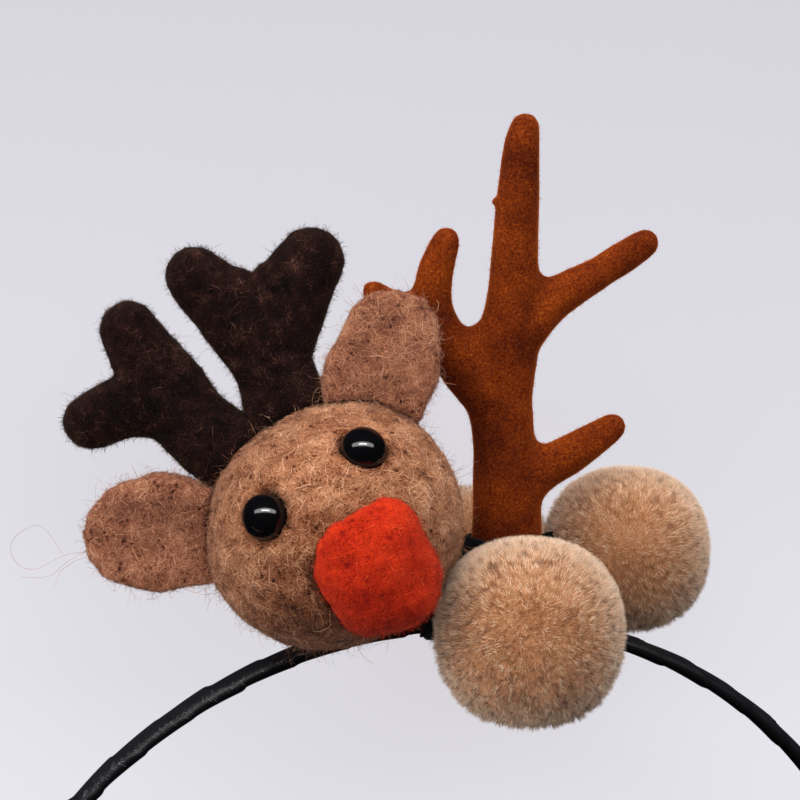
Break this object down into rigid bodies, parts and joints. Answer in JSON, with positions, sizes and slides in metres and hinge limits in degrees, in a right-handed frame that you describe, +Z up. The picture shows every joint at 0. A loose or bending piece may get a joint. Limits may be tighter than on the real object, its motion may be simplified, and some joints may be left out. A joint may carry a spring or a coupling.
{
  "type": "reindeer antler headband",
  "caption": "Wound hair hoop that carries a needle-felted reindeer head, a flocked branching antler and trimmed yarn pompoms at its crown.",
  "frame": {"origin": "middle of the bounding box at its base, on the surface that the headband lies on", "axes": "the headband lies on its back: +Z up out of the reindeer's face, +Y from the hoop's tips to the antler's tip, +X to the viewer's right"},
  "size_m": [0.1434, 0.191, 0.0572],
  "materials": {
    "wound_band": "satin",
    "lashing_thread": "matte",
    "tan_felt": "matte",
    "red_felt": "matte",
    "bead": "gloss",
    "ear_felt": "matte",
    "dark_felt": "matte",
    "flock": "matte",
    "yarn": "matte"
  },
  "bodies": {
    "root": {"hoop": "wound_band", "lashing": "lashing_thread", "reindeer_head": "tan_felt", "nose": "red_felt", "eye_left": "bead", "eye_right": "bead", "ear_left": "ear_felt", "ear_right": "ear_felt", "felt_antler_left": "dark_felt", "felt_antler_right": "dark_felt", "flocked_antler": "flock", "pompom_front": "yarn", "pompom_side": "yarn", "pompom_back": "yarn"}
  },
  "joints": []
}
